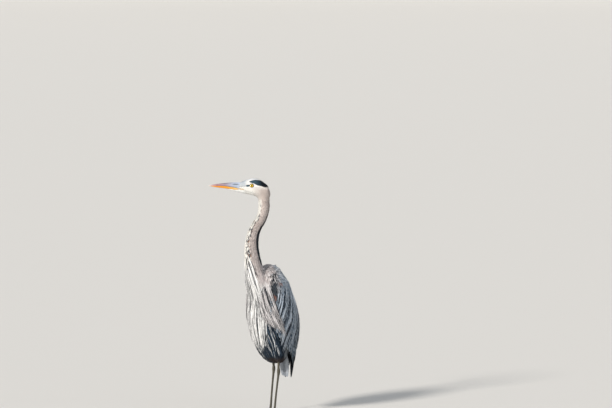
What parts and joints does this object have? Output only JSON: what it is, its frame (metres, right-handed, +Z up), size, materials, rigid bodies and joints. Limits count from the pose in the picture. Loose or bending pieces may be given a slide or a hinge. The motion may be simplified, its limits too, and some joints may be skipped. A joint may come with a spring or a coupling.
{
  "type": "great blue heron",
  "caption": "Life-size standing heron with an S-shaped neck, its head turned to its right, a dagger bill, folded wings, hanging plumes and long thin legs.",
  "frame": {"origin": "on the floor, under the centre of the whole bird's bounding box", "axes": "+Z up, the bird faces -Y, its left side is +X; the head is turned 40 degrees to its right"},
  "size_m": [0.2468, 0.3578, 1.0237],
  "materials": {
    "face_feathers": "short soft white feathers, matte, with a black stripe over the eye",
    "bill_upper": "worn horn, grey-brown, satin",
    "bill_lower": "worn horn, yellow-orange, satin",
    "eye": "wet clear eye with a yellow iris and a black pupil",
    "neck_feathers": "short soft grey-buff feathers, matte, streaked dark on white in front",
    "breast_feathers": "long soft white plumes with dark streaks, matte",
    "plumes": "long thin lavender-grey plumes, matte, slightly silky",
    "wing_coverts": "overlapping slate-grey feathers, matte",
    "flight_quills": "stiff blackish slate quills, matte",
    "tail_feathers": "stiff slate-grey feathers, matte",
    "thigh_feathers": "short chestnut feathers, matte",
    "leg_skin": "dark greenish-brown scaled skin, dull",
    "claw": "blackish horn, satin"
  },
  "bodies": {
    "root": {"head": "face_feathers", "bill_upper": "bill_upper", "bill_lower": "bill_lower", "eye_left": "eye", "eye_right": "eye", "neck_upper": "neck_feathers", "neck_middle": "neck_feathers", "neck_lower": "neck_feathers", "trunk": "breast_feathers", "breast_plumes": "breast_feathers", "wing_left": "wing_coverts", "flight_feathers_left": "flight_quills", "shoulder_plumes_left": "plumes", "thigh_left": "thigh_feathers", "shank_left": "leg_skin", "tarsus_left": "leg_skin", "foot_left": "leg_skin", "claw_inner_left": "claw", "claw_middle_left": "claw", "claw_outer_left": "claw", "claw_hind_left": "claw", "wing_right": "wing_coverts", "flight_feathers_right": "flight_quills", "shoulder_plumes_right": "plumes", "thigh_right": "thigh_feathers", "shank_right": "leg_skin", "tarsus_right": "leg_skin", "foot_right": "leg_skin", "claw_inner_right": "claw", "claw_middle_right": "claw", "claw_outer_right": "claw", "claw_hind_right": "claw", "tail": "tail_feathers"}
  },
  "joints": []
}
